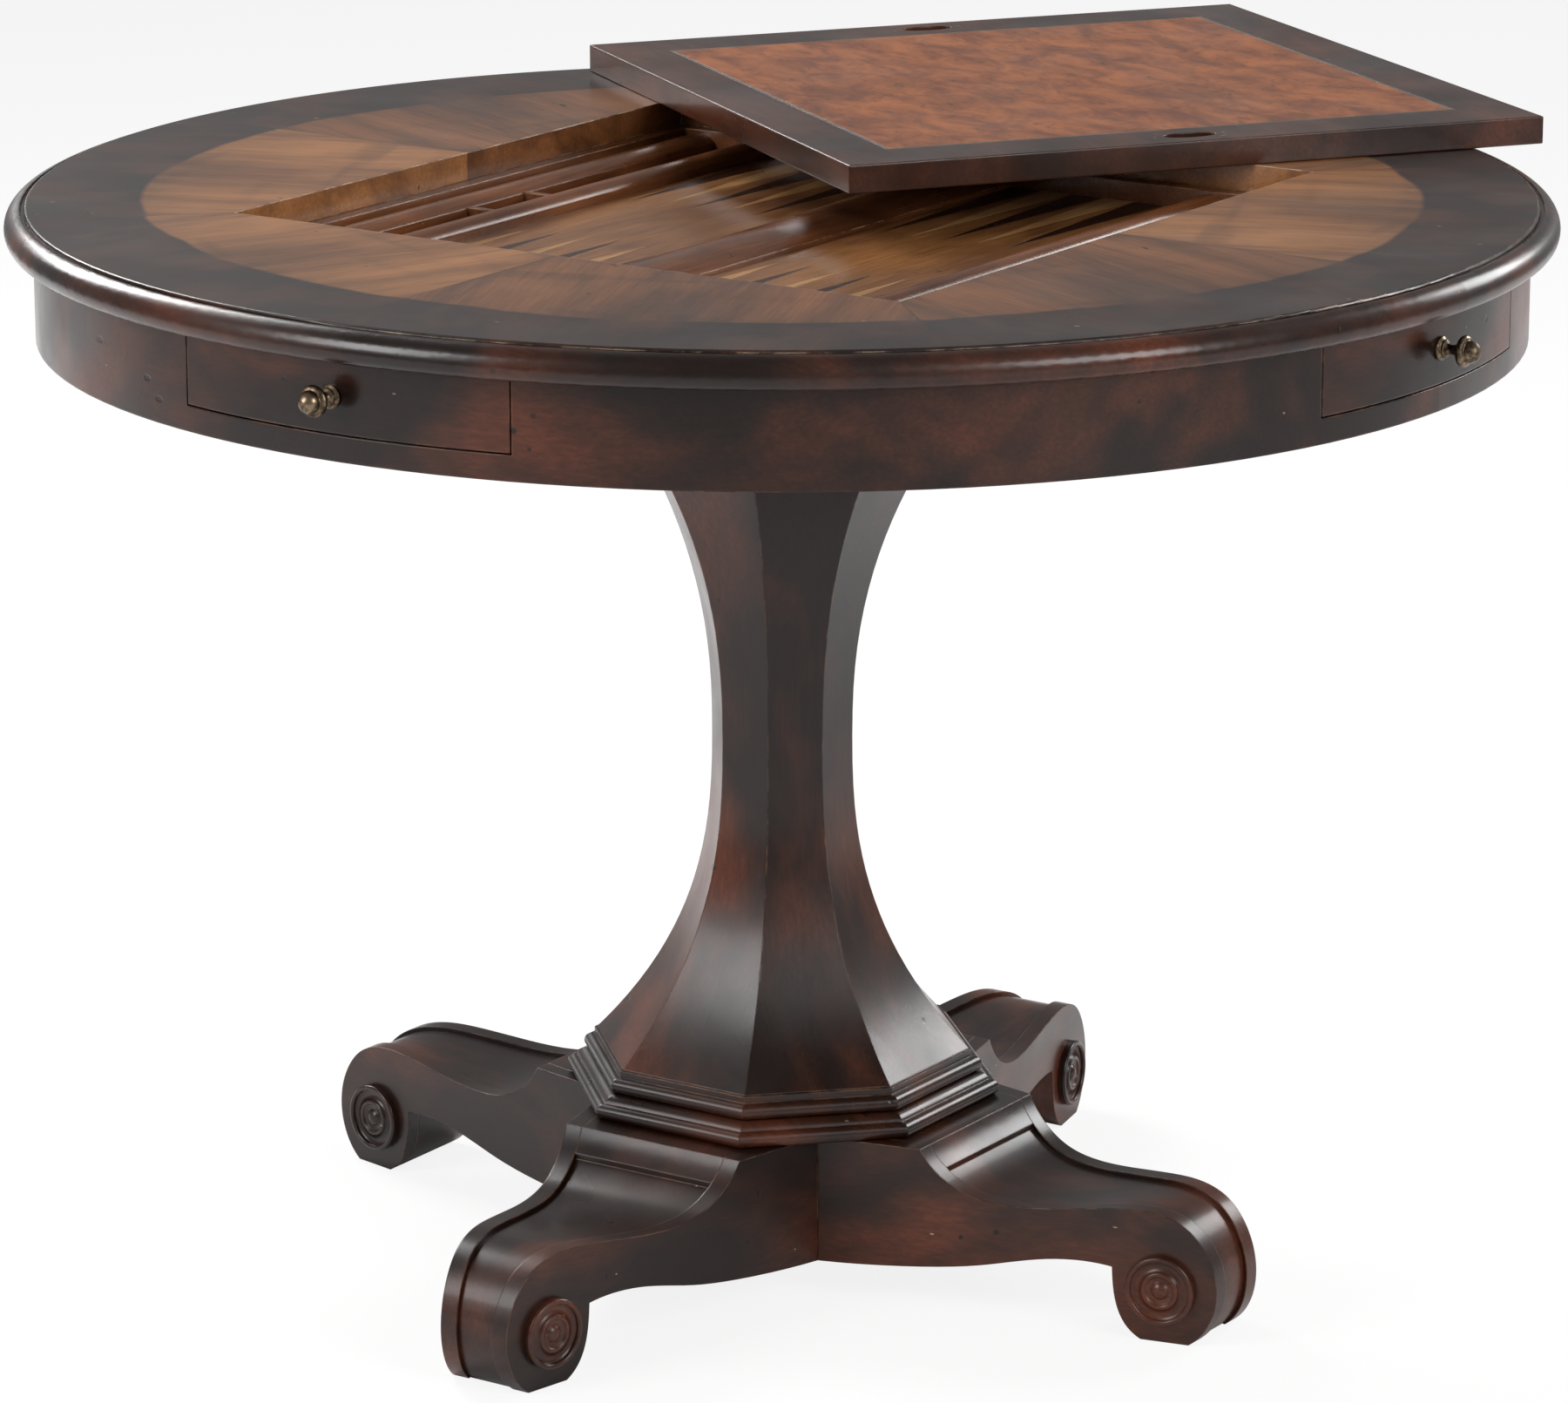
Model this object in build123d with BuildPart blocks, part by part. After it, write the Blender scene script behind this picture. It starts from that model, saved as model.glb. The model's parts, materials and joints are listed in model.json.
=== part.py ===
from build123d import *
import math
import os

# Round gaming table on an eight-sided pedestal with four scrolled legs. A square
# panel lifts out of the top and uncovers a well with a backgammon board, and a
# small curved drawer runs out of the apron on each of the four sides.
#
# Millimetres, +Z up. The origin is on the floor, on the axis of the pedestal. The
# legs, drawers and well sides are square to X and Y. The panel lies turned on the
# top, behind the well, where a player has put it down.

os.makedirs("parts", exist_ok=True)

# ---- overall sizes
TABLE_HEIGHT = 762.0
SLAB_RADIUS = 519.5  # the flat top, up to its moulding
SLAB_THICKNESS = 20.0
OPENING = 536.0  # side of the square opening in the top
SLAB_EDGE_ROUND = 1.5

# ---- rim moulding
RIM_PROJECTION = 14.0  # beyond the slab
RIM_GROOVE_WIDTH = 3.0
RIM_GROOVE_DEPTH = 3.5
RIM_NOSE_DROP = 15.0  # from the top to the widest point
RIM_DEPTH = 24.0
RIM_LIP_TUCK = 8.5  # from the widest point back to the lip

# ---- apron
APRON_RADIUS = 514.0
APRON_THICKNESS = 20.0
APRON_HEIGHT = 71.0  # under the slab
APRON_RAIL_HEIGHT = 17.0  # the strip under the drawers

# ---- drawers, drawn for the one on the -Y side
DRAWER_WIDTH = 257.0  # the window in the apron
DRAWER_GAP = 1.3
DRAWER_FRONT_THICKNESS = 18.0
DRAWER_SIDE_THICKNESS = 10.0
DRAWER_BOTTOM_THICKNESS = 5.0
DRAWER_BOTTOM_RAISE = 3.0
DRAWER_BOX_WIDTH = 230.0
DRAWER_BOX_CLEARANCE = 14.0  # behind the box
DRAWER_TOP_CLEARANCE = 7.0  # over the box
RUNNER_WIDTH = 24.0
RUNNER_GUIDE_WIDTH = 8.0
RUNNER_GUIDE_HEIGHT = 14.0
RUNNER_PLAY = 0.5

# ---- knobs
KNOB_FLANGE_RADIUS = 8.0
KNOB_NECK_RADIUS = 4.0
KNOB_HEAD_RADIUS = 10.5
KNOB_LENGTH = 29.0
KNOB_STUD_RADIUS = 2.4
KNOB_STUD_CLEARANCE = 0.1

# ---- well
WALL_THICKNESS = 14.0
WALL_DROP = 64.0  # height of the walls, under the slab
LEDGE_WIDTH = 12.0
FLOOR_THICKNESS = 6.0
FLOOR_DEPTH = 56.0  # top of the table to the top of the well floor
BOARD_DEPTH = 34.0  # top of the table to the playing surface
RAIL_GAP = 2.0  # under the closed panel
OUTER_RAIL_WIDTH = 26.0
INNER_RAIL_WIDTH = 20.0
TRAY_WIDTH = 28.0
BAR_WIDTH = 56.0
DIVIDER_THICKNESS = 5.0
DIVIDER_DROP = 5.0  # below the rails
DICE_TRAY_LENGTH = 68.0
DICE_TRAY_CENTRE = -17.0
POINTS_A_SIDE = 6  # on one half of one side
POINT_LENGTH = 195.0
POINT_GAP = 1.2
INLAY_THICKNESS = 0.8

# ---- lift-out panel
PANEL_CLEARANCE = 1.5  # a side, in the opening
PANEL_FRAME_WIDTH = 47.0
PANEL_EDGE_ROUND = 1.0
PANEL_CENTRE = (-19.0, 388.0)
PANEL_TURN = -35.3
PANEL_LIE = 0.2  # over the top
FIELD_THICKNESS = 2.0
STRING_WIDTH = 2.5
FINGER_LENGTH = 54.0
FINGER_WIDTH = 32.0
FINGER_RING = 7.0  # width of the metal round the hole
FINGER_INSET = 23.0  # hole's centre to the panel's edge

# ---- pedestal
PLATE_SIZE = 440.0
PLATE_THICKNESS = 20.0
COLUMN_FOOT = 150.0
COLUMN_WAIST_HEIGHT = 380.0
COLUMN_WAIST = 46.5  # from the axis to the middle of a face
COLUMN_TOP = 165.0
COLUMN_BASE = 125.0
COLUMN_BORE = 28.0
STAVES = 8
STATIONS = 8  # along each half of the column's curve
CURVE_UP = 2.27
CURVE_DOWN = 2.65
LOWER_MOULDING_TOP = 134.0
LOWER_MOULDING_REACH = 145.0
UPPER_MOULDING_REACH = 133.5
MOULDING_BEAD = 11.0
MOULDING_NOSE = 4.5

# ---- hub and legs
HUB_TOP = 117.5
HUB_BOTTOM = 26.0
HUB_HALF = 89.0
LEG_SHOULDER = 163.0  # where the flat top of a leg ends
LEG_REACH = 375.0
LEG_TAPER = 0.2155  # half-width lost for each mm outwards
CHEEK_WIDTH = 13.0
CHEEK_PROUD = 3.0
BORDER_WIDTH = 12.0  # of the raised strip under the shoulder
ROSETTE_OUT = 336.0
ROSETTE_HEIGHT = 38.0
ROSETTE_RADIUS = 24.5
ROSETTE_DEPTH = 6.0

# ---- hardware
ROD_RADIUS = 6.0
ROD_CLEARANCE = 1.0
ROD_STAND_OUT = 14.0
WASHER_RADIUS = 20.0
WASHER_THICKNESS = 3.0
NUT_SIZE = 19.0
NUT_THICKNESS = 10.0
ROD_POCKET_DEPTH = 30.0
SCREW_RADIUS = 2.5
SCREW_HEAD_RADIUS = 5.0
SCREW_HEAD_DEPTH = 3.0
SCREW_INSET = 22.0

# ---- sizes that follow
SLAB_BOTTOM = TABLE_HEIGHT - SLAB_THICKNESS
APRON_BOTTOM = SLAB_BOTTOM - APRON_HEIGHT
APRON_INNER = APRON_RADIUS - APRON_THICKNESS
WINDOW_BOTTOM = APRON_BOTTOM + APRON_RAIL_HEIGHT
HALF_OPENING = OPENING / 2
RIM_BOTTOM = TABLE_HEIGHT - RIM_DEPTH
RIM_OUTER = SLAB_RADIUS + RIM_PROJECTION
FLOOR_TOP = TABLE_HEIGHT - FLOOR_DEPTH
FLOOR_BOTTOM = FLOOR_TOP - FLOOR_THICKNESS
BOARD_TOP = TABLE_HEIGHT - BOARD_DEPTH
RAIL_TOP = SLAB_BOTTOM - RAIL_GAP
WALL_BOTTOM = SLAB_BOTTOM - WALL_DROP
WELL_HALF = HALF_OPENING - LEDGE_WIDTH
PLATE_BOTTOM = FLOOR_BOTTOM - PLATE_THICKNESS
SIDES = {"front": 0, "right": 90, "back": 180, "left": 270}


def save(piece, label):
    """Label a finished piece and write its STEP file."""
    piece.part.label = label
    export_step(piece.part, f"parts/{label}.step")


def save_group(pieces, label):
    """Write like pieces that touch one another as separate solids of one node."""
    group = Compound([solid for piece in pieces for solid in piece.part.solids()])
    group.label = label
    export_step(group, f"parts/{label}.step")


def plan(angle, height):
    """Level plane whose -Y points out of the table's side at this angle."""
    return Plane.XY.rotated((0, 0, angle)).offset(height)


def outward(angle):
    """Level direction out of the table at this angle, 0 being -Y."""
    turn = math.radians(angle)
    return Vector(math.sin(turn), -math.cos(turn), 0)


def dome_middle(reach, low, high):
    """A point half-way up a round cap whose centre is on the axis."""
    rise = high - low
    ball = (reach**2 + rise**2) / (2 * rise)
    middle = (math.atan2(high - ball - low, reach) * -1 + math.pi / 2) / 2
    return ball * math.cos(middle), high - ball + ball * math.sin(middle)


def upright(angle):
    """Standing plane through the axis: X runs outwards and Y runs up."""
    out = outward(angle)
    return Plane(origin=(0, 0, 0), x_dir=out, z_dir=out.cross(Vector(0, 0, 1)))


# ---- the round top -----------------------------------------------------------
with BuildPart() as top_slab:
    with BuildSketch(Plane.XY.offset(SLAB_BOTTOM)):
        Circle(SLAB_RADIUS)
        Rectangle(OPENING, OPENING, mode=Mode.SUBTRACT)
    extrude(amount=SLAB_THICKNESS)
    outer_rim = top_slab.edges().filter_by(GeomType.CIRCLE).sort_by(Axis.Z)[-1]
    fillet(outer_rim, SLAB_EDGE_ROUND)
save(top_slab, "top_slab")

# The moulding hooks under the slab's edge, and its lip covers the apron's top.
with BuildPart() as rim_moulding:
    with BuildSketch(Plane.XZ):
        with BuildLine():
            groove_out = SLAB_RADIUS + RIM_GROOVE_WIDTH
            groove_floor = TABLE_HEIGHT - RIM_GROOVE_DEPTH
            nose = (RIM_OUTER, TABLE_HEIGHT - RIM_NOSE_DROP)
            lip = (RIM_OUTER - RIM_LIP_TUCK, RIM_BOTTOM)
            crown = (groove_out, TABLE_HEIGHT - RIM_GROOVE_DEPTH / 2)
            Polyline(crown, (groove_out, groove_floor), (SLAB_RADIUS, groove_floor),
                     (SLAB_RADIUS, SLAB_BOTTOM), (APRON_RADIUS, SLAB_BOTTOM),
                     (APRON_RADIUS, RIM_BOTTOM), lip)
            Spline(lip, (RIM_OUTER - 1.5, RIM_BOTTOM + 3.5), nose,
                   (RIM_OUTER - 3.2, TABLE_HEIGHT - 6.0), crown)
        make_face()
    revolve(axis=Axis.Z)
save(rim_moulding, "rim_moulding")

with BuildPart() as apron:
    with BuildSketch(Plane.XY.offset(APRON_BOTTOM)):
        Circle(APRON_RADIUS)
        Circle(APRON_INNER, mode=Mode.SUBTRACT)
    extrude(amount=APRON_HEIGHT)
    for side_angle in SIDES.values():
        with BuildSketch(plan(side_angle, WINDOW_BOTTOM)):
            with Locations((0, -APRON_RADIUS)):
                Rectangle(DRAWER_WIDTH, APRON_RADIUS)
        extrude(amount=SLAB_BOTTOM - WINDOW_BOTTOM, mode=Mode.SUBTRACT)
save(apron, "apron")

# ---- the well ----------------------------------------------------------------
walls = []
for side_angle in SIDES.values():
    with BuildPart() as wall:
        with BuildSketch(plan(side_angle, WALL_BOTTOM)):
            with BuildLine():
                outer = HALF_OPENING + WALL_THICKNESS
                Polyline((-HALF_OPENING, -HALF_OPENING), (-outer, -outer), (outer, -outer),
                         (HALF_OPENING, -HALF_OPENING), close=True)
            make_face()
        extrude(amount=WALL_DROP)
    walls.append(wall)
save_group(walls, "well_walls")

# Strips round the inside of the walls, mitred, that the closed panel rests on.
ledges = []
for side_angle in SIDES.values():
    with BuildPart() as ledge:
        with BuildSketch(plan(side_angle, FLOOR_TOP)):
            with BuildLine():
                Polyline((-WELL_HALF, -WELL_HALF), (-HALF_OPENING, -HALF_OPENING),
                         (HALF_OPENING, -HALF_OPENING), (WELL_HALF, -WELL_HALF), close=True)
            make_face()
        extrude(amount=SLAB_BOTTOM - FLOOR_TOP)
    ledges.append(ledge)
save_group(ledges, "panel_ledges")

with BuildPart() as well_floor:
    with BuildSketch(Plane.XY.offset(FLOOR_BOTTOM)):
        Rectangle(OPENING, OPENING)
    extrude(amount=FLOOR_THICKNESS)
save(well_floor, "well_floor")

OUTER_RAIL_X = WELL_HALF - OUTER_RAIL_WIDTH / 2
TRAY_X = WELL_HALF - OUTER_RAIL_WIDTH - TRAY_WIDTH / 2
INNER_RAIL_X = WELL_HALF - OUTER_RAIL_WIDTH - TRAY_WIDTH - INNER_RAIL_WIDTH / 2
BOARD_OUTER = INNER_RAIL_X - INNER_RAIL_WIDTH / 2
BOARD_INNER = BAR_WIDTH / 2


def round_topped_strip(centre, width, crown):
    """A strip along Y on the well floor whose top is a shallow arch."""
    with BuildPart() as strip:
        with BuildSketch(Plane.XZ.offset(-WELL_HALF)):
            with BuildLine():
                left, right = centre - width / 2, centre + width / 2
                Polyline((left, RAIL_TOP - crown), (left, FLOOR_TOP), (right, FLOOR_TOP),
                         (right, RAIL_TOP - crown))
                ThreePointArc((right, RAIL_TOP - crown), (centre, RAIL_TOP),
                              (left, RAIL_TOP - crown))
            make_face()
        extrude(amount=2 * WELL_HALF)
    return strip


for hand, sign in (("left", -1), ("right", 1)):
    save(round_topped_strip(sign * OUTER_RAIL_X, OUTER_RAIL_WIDTH, 6), f"outer_rail_{hand}")
    save(round_topped_strip(sign * INNER_RAIL_X, INNER_RAIL_WIDTH, 6), f"inner_rail_{hand}")
save(round_topped_strip(0, BAR_WIDTH, 9), "centre_bar")

with BuildPart() as tray_dividers:
    with BuildSketch(Plane.XY.offset(FLOOR_TOP)):
        with Locations((0, DICE_TRAY_CENTRE)):
            with GridLocations(2 * TRAY_X, DICE_TRAY_LENGTH, 2, 2):
                Rectangle(TRAY_WIDTH, DIVIDER_THICKNESS)
    extrude(amount=RAIL_TOP - DIVIDER_DROP - FLOOR_TOP)
save(tray_dividers, "tray_dividers")

# The playing surface: long triangular points, dark and light in turn, let into the
# two boards. On the far side the colours change places, as on any backgammon board.
POINT_PITCH = (BOARD_OUTER - BOARD_INNER) / POINTS_A_SIDE


def point_outline(x, end):
    """Long triangle standing on the board's end, -1 for the front and 1 for the back."""
    half = (POINT_PITCH - POINT_GAP) / 2
    base, tip = end * (WELL_HALF - 1), end * (WELL_HALF - POINT_LENGTH)
    return (x - half, base), (x + half, base), (x, tip)


POINTS = {"dark": [], "light": []}
for hand in (-1, 1):
    for index in range(POINTS_A_SIDE):
        point_x = hand * (BOARD_INNER + (index + 0.5) * POINT_PITCH)
        for end in (-1, 1):
            is_dark = (index + (hand + 1) // 2 + (end + 1) // 2) % 2 == 0
            POINTS["dark" if is_dark else "light"].append((point_x, end))

for hand, sign in (("left", -1), ("right", 1)):
    with BuildPart() as board:
        with BuildSketch(Plane.XY.offset(FLOOR_TOP)):
            with Locations((sign * (BOARD_OUTER + BOARD_INNER) / 2, 0)):
                Rectangle(BOARD_OUTER - BOARD_INNER, 2 * WELL_HALF)
        extrude(amount=BOARD_TOP - FLOOR_TOP)
        with BuildSketch(Plane.XY.offset(BOARD_TOP)):
            for point_x, end in POINTS["dark"] + POINTS["light"]:
                if point_x * sign > 0:
                    Polygon(*point_outline(point_x, end), align=None)
        extrude(amount=-INLAY_THICKNESS, mode=Mode.SUBTRACT)
    save(board, f"board_{hand}")

for tone, places in POINTS.items():
    with BuildPart() as inlay:
        with BuildSketch(Plane.XY.offset(BOARD_TOP)):
            for point_x, end in places:
                Polygon(*point_outline(point_x, end), align=None)
        extrude(amount=-INLAY_THICKNESS)
    save(inlay, f"points_{tone}")

# ---- drawers -----------------------------------------------------------------
FRONT_INNER = APRON_RADIUS - DRAWER_FRONT_THICKNESS
FRONT_BOTTOM = WINDOW_BOTTOM + DRAWER_GAP
FRONT_TOP = RIM_BOTTOM - DRAWER_GAP
FRONT_MIDDLE = (FRONT_BOTTOM + FRONT_TOP) / 2
BOX_BOTTOM = FRONT_BOTTOM + RUNNER_PLAY
BOX_TOP = SLAB_BOTTOM - DRAWER_TOP_CLEARANCE
BOX_HALF = DRAWER_BOX_WIDTH / 2
BOX_BACK = HALF_OPENING + WALL_THICKNESS + DRAWER_BOX_CLEARANCE
BOX_INNER_HALF = BOX_HALF - DRAWER_SIDE_THICKNESS
STUD_HOLE_RADIUS = KNOB_STUD_RADIUS + KNOB_STUD_CLEARANCE


def drawer_board(angle, centre_x, width, low, high, back):
    """A board of the drawer's box that runs from its back to the curved front."""
    with BuildPart() as piece:
        with BuildSketch(plan(angle, low)):
            with BuildLine():
                Polyline((centre_x - width / 2, -back), (centre_x + width / 2, -back),
                         (centre_x + width / 2, -APRON_RADIUS),
                         (centre_x - width / 2, -APRON_RADIUS), close=True)
            make_face()
            Circle(FRONT_INNER, mode=Mode.INTERSECT)
        extrude(amount=high - low)
    return piece


runners = []
for side, side_angle in SIDES.items():
    with BuildPart() as drawer_front:
        with BuildSketch(plan(side_angle, FRONT_BOTTOM)):
            Circle(APRON_RADIUS)
            Circle(FRONT_INNER, mode=Mode.SUBTRACT)
            with Locations((0, -APRON_RADIUS)):
                Rectangle(DRAWER_WIDTH - 2 * DRAWER_GAP, APRON_RADIUS, mode=Mode.INTERSECT)
        extrude(amount=FRONT_TOP - FRONT_BOTTOM)
        front_face = Plane(origin=outward(side_angle) * APRON_RADIUS + Vector(0, 0, FRONT_MIDDLE),
                           z_dir=outward(side_angle))
        with BuildSketch(front_face):
            Circle(STUD_HOLE_RADIUS)
        extrude(amount=-DRAWER_FRONT_THICKNESS - 1, mode=Mode.SUBTRACT)
    save(drawer_front, f"drawer_{side}_front")

    side_x = BOX_HALF - DRAWER_SIDE_THICKNESS / 2
    box_sides = [drawer_board(side_angle, sign * side_x, DRAWER_SIDE_THICKNESS,
                              BOX_BOTTOM, BOX_TOP, BOX_BACK) for sign in (-1, 1)]
    with BuildPart() as box_back:
        with BuildSketch(plan(side_angle, BOX_BOTTOM)):
            with Locations((0, -BOX_BACK - DRAWER_SIDE_THICKNESS / 2)):
                Rectangle(2 * BOX_INNER_HALF, DRAWER_SIDE_THICKNESS)
        extrude(amount=BOX_TOP - BOX_BOTTOM)
    save_group(box_sides + [box_back], f"drawer_{side}_box")
    bottom_low = BOX_BOTTOM + DRAWER_BOTTOM_RAISE
    save(drawer_board(side_angle, 0, 2 * BOX_INNER_HALF, bottom_low,
                      bottom_low + DRAWER_BOTTOM_THICKNESS, BOX_BACK + DRAWER_SIDE_THICKNESS),
         f"drawer_{side}_bottom")

    # Turned knob: flange, thin neck, ringed head with a domed end, and a stud.
    knob_axis = Axis(outward(side_angle) * APRON_RADIUS + Vector(0, 0, FRONT_MIDDLE),
                     outward(side_angle))
    knob_plane = Plane(origin=knob_axis.position, x_dir=(0, 0, 1),
                       z_dir=Vector(0, 0, 1).cross(outward(side_angle)))
    with BuildPart() as knob:
        with BuildSketch(knob_plane):
            with BuildLine():
                head = KNOB_LENGTH * 0.52
                Polyline((0, KNOB_LENGTH), (0, -DRAWER_FRONT_THICKNESS),
                         (KNOB_STUD_RADIUS, -DRAWER_FRONT_THICKNESS), (KNOB_STUD_RADIUS, 0),
                         (KNOB_FLANGE_RADIUS, 0), (KNOB_FLANGE_RADIUS, 1.6),
                         (KNOB_NECK_RADIUS + 2, 3), (KNOB_NECK_RADIUS + 2, 4.5),
                         (KNOB_NECK_RADIUS, 6))
                Spline((KNOB_NECK_RADIUS, 6), (KNOB_NECK_RADIUS - 0.8, head * 0.6),
                       (KNOB_NECK_RADIUS + 1, head - 2), (KNOB_HEAD_RADIUS - 2, head))
                ThreePointArc((KNOB_HEAD_RADIUS - 2, head), (KNOB_HEAD_RADIUS, head + 2.5),
                              (KNOB_HEAD_RADIUS - 1.5, head + 5))
                Line((KNOB_HEAD_RADIUS - 1.5, head + 5), (KNOB_HEAD_RADIUS - 3, head + 5.5))
                cap = KNOB_HEAD_RADIUS - 3
                ThreePointArc((cap, head + 5.5), dome_middle(cap, head + 5.5, KNOB_LENGTH),
                              (0, KNOB_LENGTH))
            make_face()
        revolve(axis=knob_axis)
    save(knob, f"drawer_{side}_knob")

    # Two runners carry each drawer, from the well's wall to the apron.
    runner_base = WALL_BOTTOM
    for sign in (-1, 1):
        guide_x = sign * (BOX_HALF + RUNNER_PLAY * 2 + RUNNER_GUIDE_WIDTH / 2)
        base_x = sign * (BOX_HALF + RUNNER_PLAY * 2 + RUNNER_GUIDE_WIDTH - RUNNER_WIDTH / 2)
        with BuildPart() as runner:
            with BuildSketch(plan(side_angle, runner_base)):
                with Locations((base_x, -(HALF_OPENING + WALL_THICKNESS + APRON_RADIUS) / 2)):
                    Rectangle(RUNNER_WIDTH, APRON_RADIUS - HALF_OPENING - WALL_THICKNESS)
                Circle(APRON_INNER, mode=Mode.INTERSECT)
            extrude(amount=BOX_BOTTOM - RUNNER_PLAY - runner_base)
            with BuildSketch(plan(side_angle, BOX_BOTTOM - RUNNER_PLAY)):
                with Locations((guide_x, -(HALF_OPENING + WALL_THICKNESS + APRON_RADIUS) / 2)):
                    Rectangle(RUNNER_GUIDE_WIDTH, APRON_RADIUS - HALF_OPENING - WALL_THICKNESS)
                Circle(APRON_INNER, mode=Mode.INTERSECT)
            extrude(amount=RUNNER_GUIDE_HEIGHT)
        runners.append(runner)
save_group(runners, "drawer_runners")

# ---- lift-out panel ------------------------------------------------------------
PANEL_HALF = HALF_OPENING - PANEL_CLEARANCE
FIELD_HALF = PANEL_HALF - PANEL_FRAME_WIDTH
PANEL_LOW = TABLE_HEIGHT + PANEL_LIE
PANEL_HIGH = PANEL_LOW + SLAB_THICKNESS
FINGER_X = PANEL_HALF - FINGER_INSET


def panel_plane(height):
    """Level plane centred on the panel where it lies, turned with it."""
    turn = math.radians(PANEL_TURN)
    return Plane(origin=(*PANEL_CENTRE, height), x_dir=(math.cos(turn), math.sin(turn), 0),
                 z_dir=(0, 0, 1))


frame_rails = []
for quarter in range(4):
    with BuildPart() as frame_rail:
        with BuildSketch(panel_plane(PANEL_LOW).rotated((0, 0, 90 * quarter))):
            with BuildLine():
                Polyline((-FIELD_HALF, -FIELD_HALF), (-PANEL_HALF, -PANEL_HALF),
                         (PANEL_HALF, -PANEL_HALF), (FIELD_HALF, -FIELD_HALF), close=True)
            make_face()
            if quarter % 2:
                with Locations((0, -FINGER_X)):
                    Ellipse(FINGER_LENGTH / 2, FINGER_WIDTH / 2, mode=Mode.SUBTRACT)
        extrude(amount=SLAB_THICKNESS)
        long_edges = frame_rail.edges().filter_by(GeomType.LINE).sort_by(SortBy.LENGTH)[-2:]
        fillet(long_edges, PANEL_EDGE_ROUND)
    frame_rails.append(frame_rail)
save_group(frame_rails, "panel_frame")

with BuildPart() as panel_core:
    with BuildSketch(panel_plane(PANEL_LOW)):
        Rectangle(2 * FIELD_HALF, 2 * FIELD_HALF)
    extrude(amount=SLAB_THICKNESS - FIELD_THICKNESS)
save(panel_core, "panel_core")

with BuildPart() as panel_field:
    with BuildSketch(panel_plane(PANEL_HIGH - FIELD_THICKNESS)):
        Rectangle(2 * (FIELD_HALF - STRING_WIDTH), 2 * (FIELD_HALF - STRING_WIDTH))
    extrude(amount=FIELD_THICKNESS)
save(panel_field, "panel_field")

with BuildPart() as panel_stringing:
    with BuildSketch(panel_plane(PANEL_HIGH - FIELD_THICKNESS)):
        Rectangle(2 * FIELD_HALF, 2 * FIELD_HALF)
        Rectangle(2 * (FIELD_HALF - STRING_WIDTH), 2 * (FIELD_HALF - STRING_WIDTH),
                  mode=Mode.SUBTRACT)
    extrude(amount=FIELD_THICKNESS)
save(panel_stringing, "panel_stringing")

with BuildPart() as finger_rings:
    with BuildSketch(panel_plane(PANEL_LOW)):
        with Locations((-FINGER_X, 0), (FINGER_X, 0)):
            Ellipse(FINGER_WIDTH / 2, FINGER_LENGTH / 2)
            Ellipse(FINGER_WIDTH / 2 - FINGER_RING, FINGER_LENGTH / 2 - FINGER_RING,
                    mode=Mode.SUBTRACT)
    extrude(amount=SLAB_THICKNESS)
save(finger_rings, "finger_rings")

# ---- pedestal ------------------------------------------------------------------
NUT_FACE_LOW = HUB_BOTTOM + ROD_POCKET_DEPTH
ROD_HOLE = ROD_RADIUS + ROD_CLEARANCE
with BuildPart() as mounting_plate:
    with BuildSketch(Plane.XY.offset(PLATE_BOTTOM)):
        RectangleRounded(PLATE_SIZE, PLATE_SIZE, 20)
        Circle(ROD_HOLE, mode=Mode.SUBTRACT)
    extrude(amount=PLATE_THICKNESS)
    with BuildSketch(Plane.XY.offset(PLATE_BOTTOM + PLATE_THICKNESS)):
        Circle(WASHER_RADIUS + ROD_CLEARANCE)
    extrude(amount=-(WASHER_THICKNESS + NUT_THICKNESS), mode=Mode.SUBTRACT)
    with BuildSketch(Plane.XY.offset(PLATE_BOTTOM)):
        with GridLocations(PLATE_SIZE - 2 * SCREW_INSET, PLATE_SIZE - 2 * SCREW_INSET, 2, 2):
            Circle(SCREW_RADIUS)
        with PolarLocations(PLATE_SIZE / 2 - SCREW_INSET, 4):
            Circle(SCREW_RADIUS)
    extrude(amount=PLATE_THICKNESS, mode=Mode.SUBTRACT)
save(mounting_plate, "mounting_plate")

with BuildPart() as plate_screws:
    with BuildSketch(Plane.XY.offset(PLATE_BOTTOM)):
        with GridLocations(PLATE_SIZE - 2 * SCREW_INSET, PLATE_SIZE - 2 * SCREW_INSET, 2, 2):
            Circle(SCREW_RADIUS)
        with PolarLocations(PLATE_SIZE / 2 - SCREW_INSET, 4):
            Circle(SCREW_RADIUS)
    extrude(amount=PLATE_THICKNESS)
    with BuildSketch(Plane.XY.offset(PLATE_BOTTOM)):
        with GridLocations(PLATE_SIZE - 2 * SCREW_INSET, PLATE_SIZE - 2 * SCREW_INSET, 2, 2):
            Circle(SCREW_HEAD_RADIUS)
        with PolarLocations(PLATE_SIZE / 2 - SCREW_INSET, 4):
            Circle(SCREW_HEAD_RADIUS)
    extrude(amount=-SCREW_HEAD_DEPTH)
save(plate_screws, "plate_screws")


def face_distance(height):
    """Axis to the middle of a face: the waist, plus a flare that grows as a power."""
    if height >= COLUMN_WAIST_HEIGHT:
        share = (height - COLUMN_WAIST_HEIGHT) / (PLATE_BOTTOM - COLUMN_WAIST_HEIGHT)
        return COLUMN_WAIST + (COLUMN_TOP - COLUMN_WAIST) * share**CURVE_UP
    share = (COLUMN_WAIST_HEIGHT - height) / (COLUMN_WAIST_HEIGHT - COLUMN_FOOT)
    return COLUMN_WAIST + (COLUMN_BASE - COLUMN_WAIST) * share**CURVE_DOWN


def wedge(angle, reach):
    """Slice of the ring that one stave fills, as a triangle in plan."""
    half = reach * math.tan(math.pi / STAVES)
    with BuildSketch(plan(angle, 0)) as slice_plan:
        Polygon((0, 0), (-half, -reach), (half, -reach), align=None)
    return slice_plan.sketch


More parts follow.
